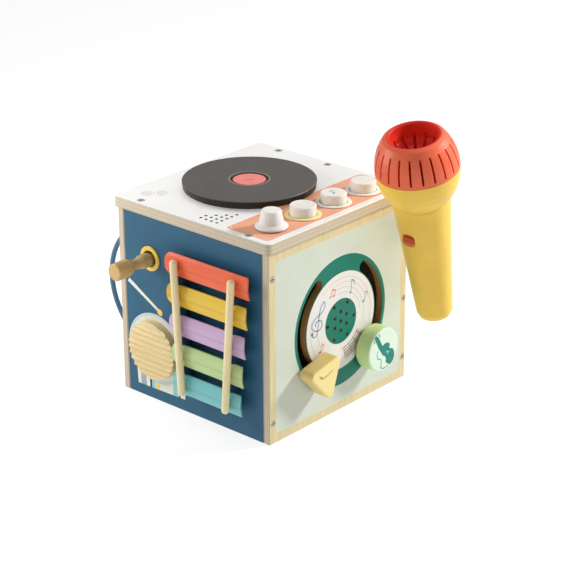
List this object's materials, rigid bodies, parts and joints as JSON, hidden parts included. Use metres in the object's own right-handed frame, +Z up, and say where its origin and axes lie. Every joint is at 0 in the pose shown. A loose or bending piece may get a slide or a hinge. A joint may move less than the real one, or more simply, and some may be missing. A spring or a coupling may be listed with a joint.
{
  "type": "baby activity cube",
  "caption": "Wooden baby activity cube with a spinning record and control buttons on top, sound sliders, xylophone, guiro and mallet on the sides, and a lift-off microphone.",
  "frame": {"origin": "centre of the box in plan, on the underside of the base board, which is the floor the cube stands on", "axes": "+Z up; -Y out of the front board with the dial; -X out of the side with the xylophone; +X out of the side with the microphone cradle; +Y out of the rear board with the bead wire"},
  "size_m": [0.252, 0.3366, 0.2726],
  "materials": {
    "pale_wood": "sanded bare birch",
    "rib_wood": "sanded bare beech",
    "blue_paint": "satin blue paint on plywood",
    "navy_paint": "satin navy paint",
    "front_paint": "satin pale green paint on plywood",
    "white_paint": "satin white paint on plywood",
    "yellow_paint": "satin yellow paint on plywood",
    "mint_paint": "satin mint paint on beech",
    "cream_yellow": "satin yellow paint on beech",
    "coral_enamel": "gloss enamel",
    "yellow_enamel": "gloss enamel",
    "lilac_enamel": "gloss enamel",
    "green_enamel": "gloss enamel",
    "teal_enamel": "gloss enamel",
    "record_grey": "satin moulded",
    "label_coral": "printed label",
    "white_plastic": "satin moulded",
    "yellow_plastic": "gloss moulded",
    "coral_plastic": "gloss moulded",
    "black_plastic": "matt moulded",
    "board_green": "solder mask on laminate",
    "steel": "zinc plated",
    "cell_wrap": "plain sleeve",
    "wire_blue": "gloss powder coat",
    "bead_coral": "gloss paint on beech"
  },
  "bodies": {
    "cube": {"base_panel": "pale_wood", "xylophone_rod_left": "pale_wood", "xylophone_rod_right": "pale_wood", "guiro_disc": "rib_wood", "left_panel": "blue_paint", "xylophone_rail_left": "navy_paint", "xylophone_rail_right": "navy_paint", "front_panel": "front_paint", "rear_panel": "front_paint", "top_panel": "white_paint", "right_panel": "yellow_paint", "xylophone_bar_1": "coral_enamel", "xylophone_bar_2": "yellow_enamel", "xylophone_bar_3": "lilac_enamel", "xylophone_bar_4": "green_enamel", "xylophone_bar_5": "teal_enamel", "bezel_2": "white_plastic", "bezel_3": "white_plastic", "mic_cradle": "white_plastic", "mallet_ring": "yellow_plastic", "bezel_1": "yellow_plastic", "volume_pot": "black_plastic", "control_tray": "black_plastic", "speaker": "black_plastic", "battery_box": "black_plastic", "circuit_board": "board_green", "lid_screw_1": "steel", "lid_screw_2": "steel", "lid_screw_3": "steel", "lid_screw_4": "steel", "front_screw_1": "steel", "front_screw_2": "steel", "front_screw_3": "steel", "front_screw_4": "steel", "battery_cell_1": "cell_wrap", "battery_cell_2": "cell_wrap", "bead_wire": "wire_blue"},
    "record": {"record": "record_grey", "record_label": "label_coral", "record_spindle": "steel"},
    "volume_knob": {"volume_knob": "white_plastic"},
    "button_1": {"button_1": "white_plastic"},
    "button_2": {"button_2": "white_plastic"},
    "button_3": {"button_3": "white_plastic"},
    "triangle_slider": {"triangle_knob": "cream_yellow", "triangle_runner": "black_plastic"},
    "guitar_slider": {"guitar_knob": "mint_paint", "guitar_runner": "black_plastic"},
    "mallet": {"mallet": "rib_wood"},
    "microphone": {"mic_body": "yellow_plastic", "mic_head": "coral_plastic", "mic_core": "black_plastic"},
    "mic_switch": {"mic_switch": "coral_plastic"},
    "wire_bead": {"wire_bead": "bead_coral"},
    "battery_door": {"battery_door": "white_plastic", "battery_door_screw": "steel"}
  },
  "joints": [
    {"name": "record_spin", "type": "hinge", "parent": "cube", "child": "record", "pos_m": [-0.005, 0.013, 0.2], "axis": [0, 0, 1], "continuous": true},
    {"name": "volume_turn", "type": "hinge", "parent": "cube", "child": "volume_knob", "pos_m": [-0.0665, -0.0695, 0.2], "axis": [0, 0, 1], "range_deg": [-135, 135]},
    {"name": "button_1_press", "type": "slide", "parent": "cube", "child": "button_1", "axis": [0, 0, -1], "range_m": [0, 0.0025], "stiffness_N_per_m": 300, "springref_m": -0.004},
    {"name": "button_2_press", "type": "slide", "parent": "cube", "child": "button_2", "axis": [0, 0, -1], "range_m": [0, 0.0025], "stiffness_N_per_m": 300, "springref_m": -0.004},
    {"name": "button_3_press", "type": "slide", "parent": "cube", "child": "button_3", "axis": [0, 0, -1], "range_m": [0, 0.0025], "stiffness_N_per_m": 300, "springref_m": -0.004},
    {"name": "triangle_slide", "type": "hinge", "parent": "cube", "child": "triangle_slider", "pos_m": [0.001, -0.093, 0.09], "axis": [0, 1, 0], "range_deg": [0, 95]},
    {"name": "guitar_slide", "type": "hinge", "parent": "cube", "child": "guitar_slider", "pos_m": [0.001, -0.093, 0.09], "axis": [0, -1, 0], "range_deg": [0, 95]},
    {"name": "mallet_pull", "type": "slide", "parent": "cube", "child": "mallet", "axis": [-1, 0, 0], "range_m": [0, 0.12]},
    {"name": "microphone_lift", "type": "slide", "parent": "cube", "child": "microphone", "axis": [-0.2418, -0.0297, 0.9699], "range_m": [0, 0.12]},
    {"name": "mic_switch_slide", "type": "slide", "parent": "microphone", "child": "mic_switch", "axis": [-0.2418, -0.0297, 0.9699], "range_m": [0, 0.002]},
    {"name": "bead_slide", "type": "hinge", "parent": "cube", "child": "wire_bead", "pos_m": [-0.046, 0.093, 0.082], "axis": [1, 0, 0], "range_deg": [0, 156]},
    {"name": "battery_door_lift", "type": "slide", "parent": "cube", "child": "battery_door", "axis": [0, 1, 0], "range_m": [0, 0.04]}
  ]
}
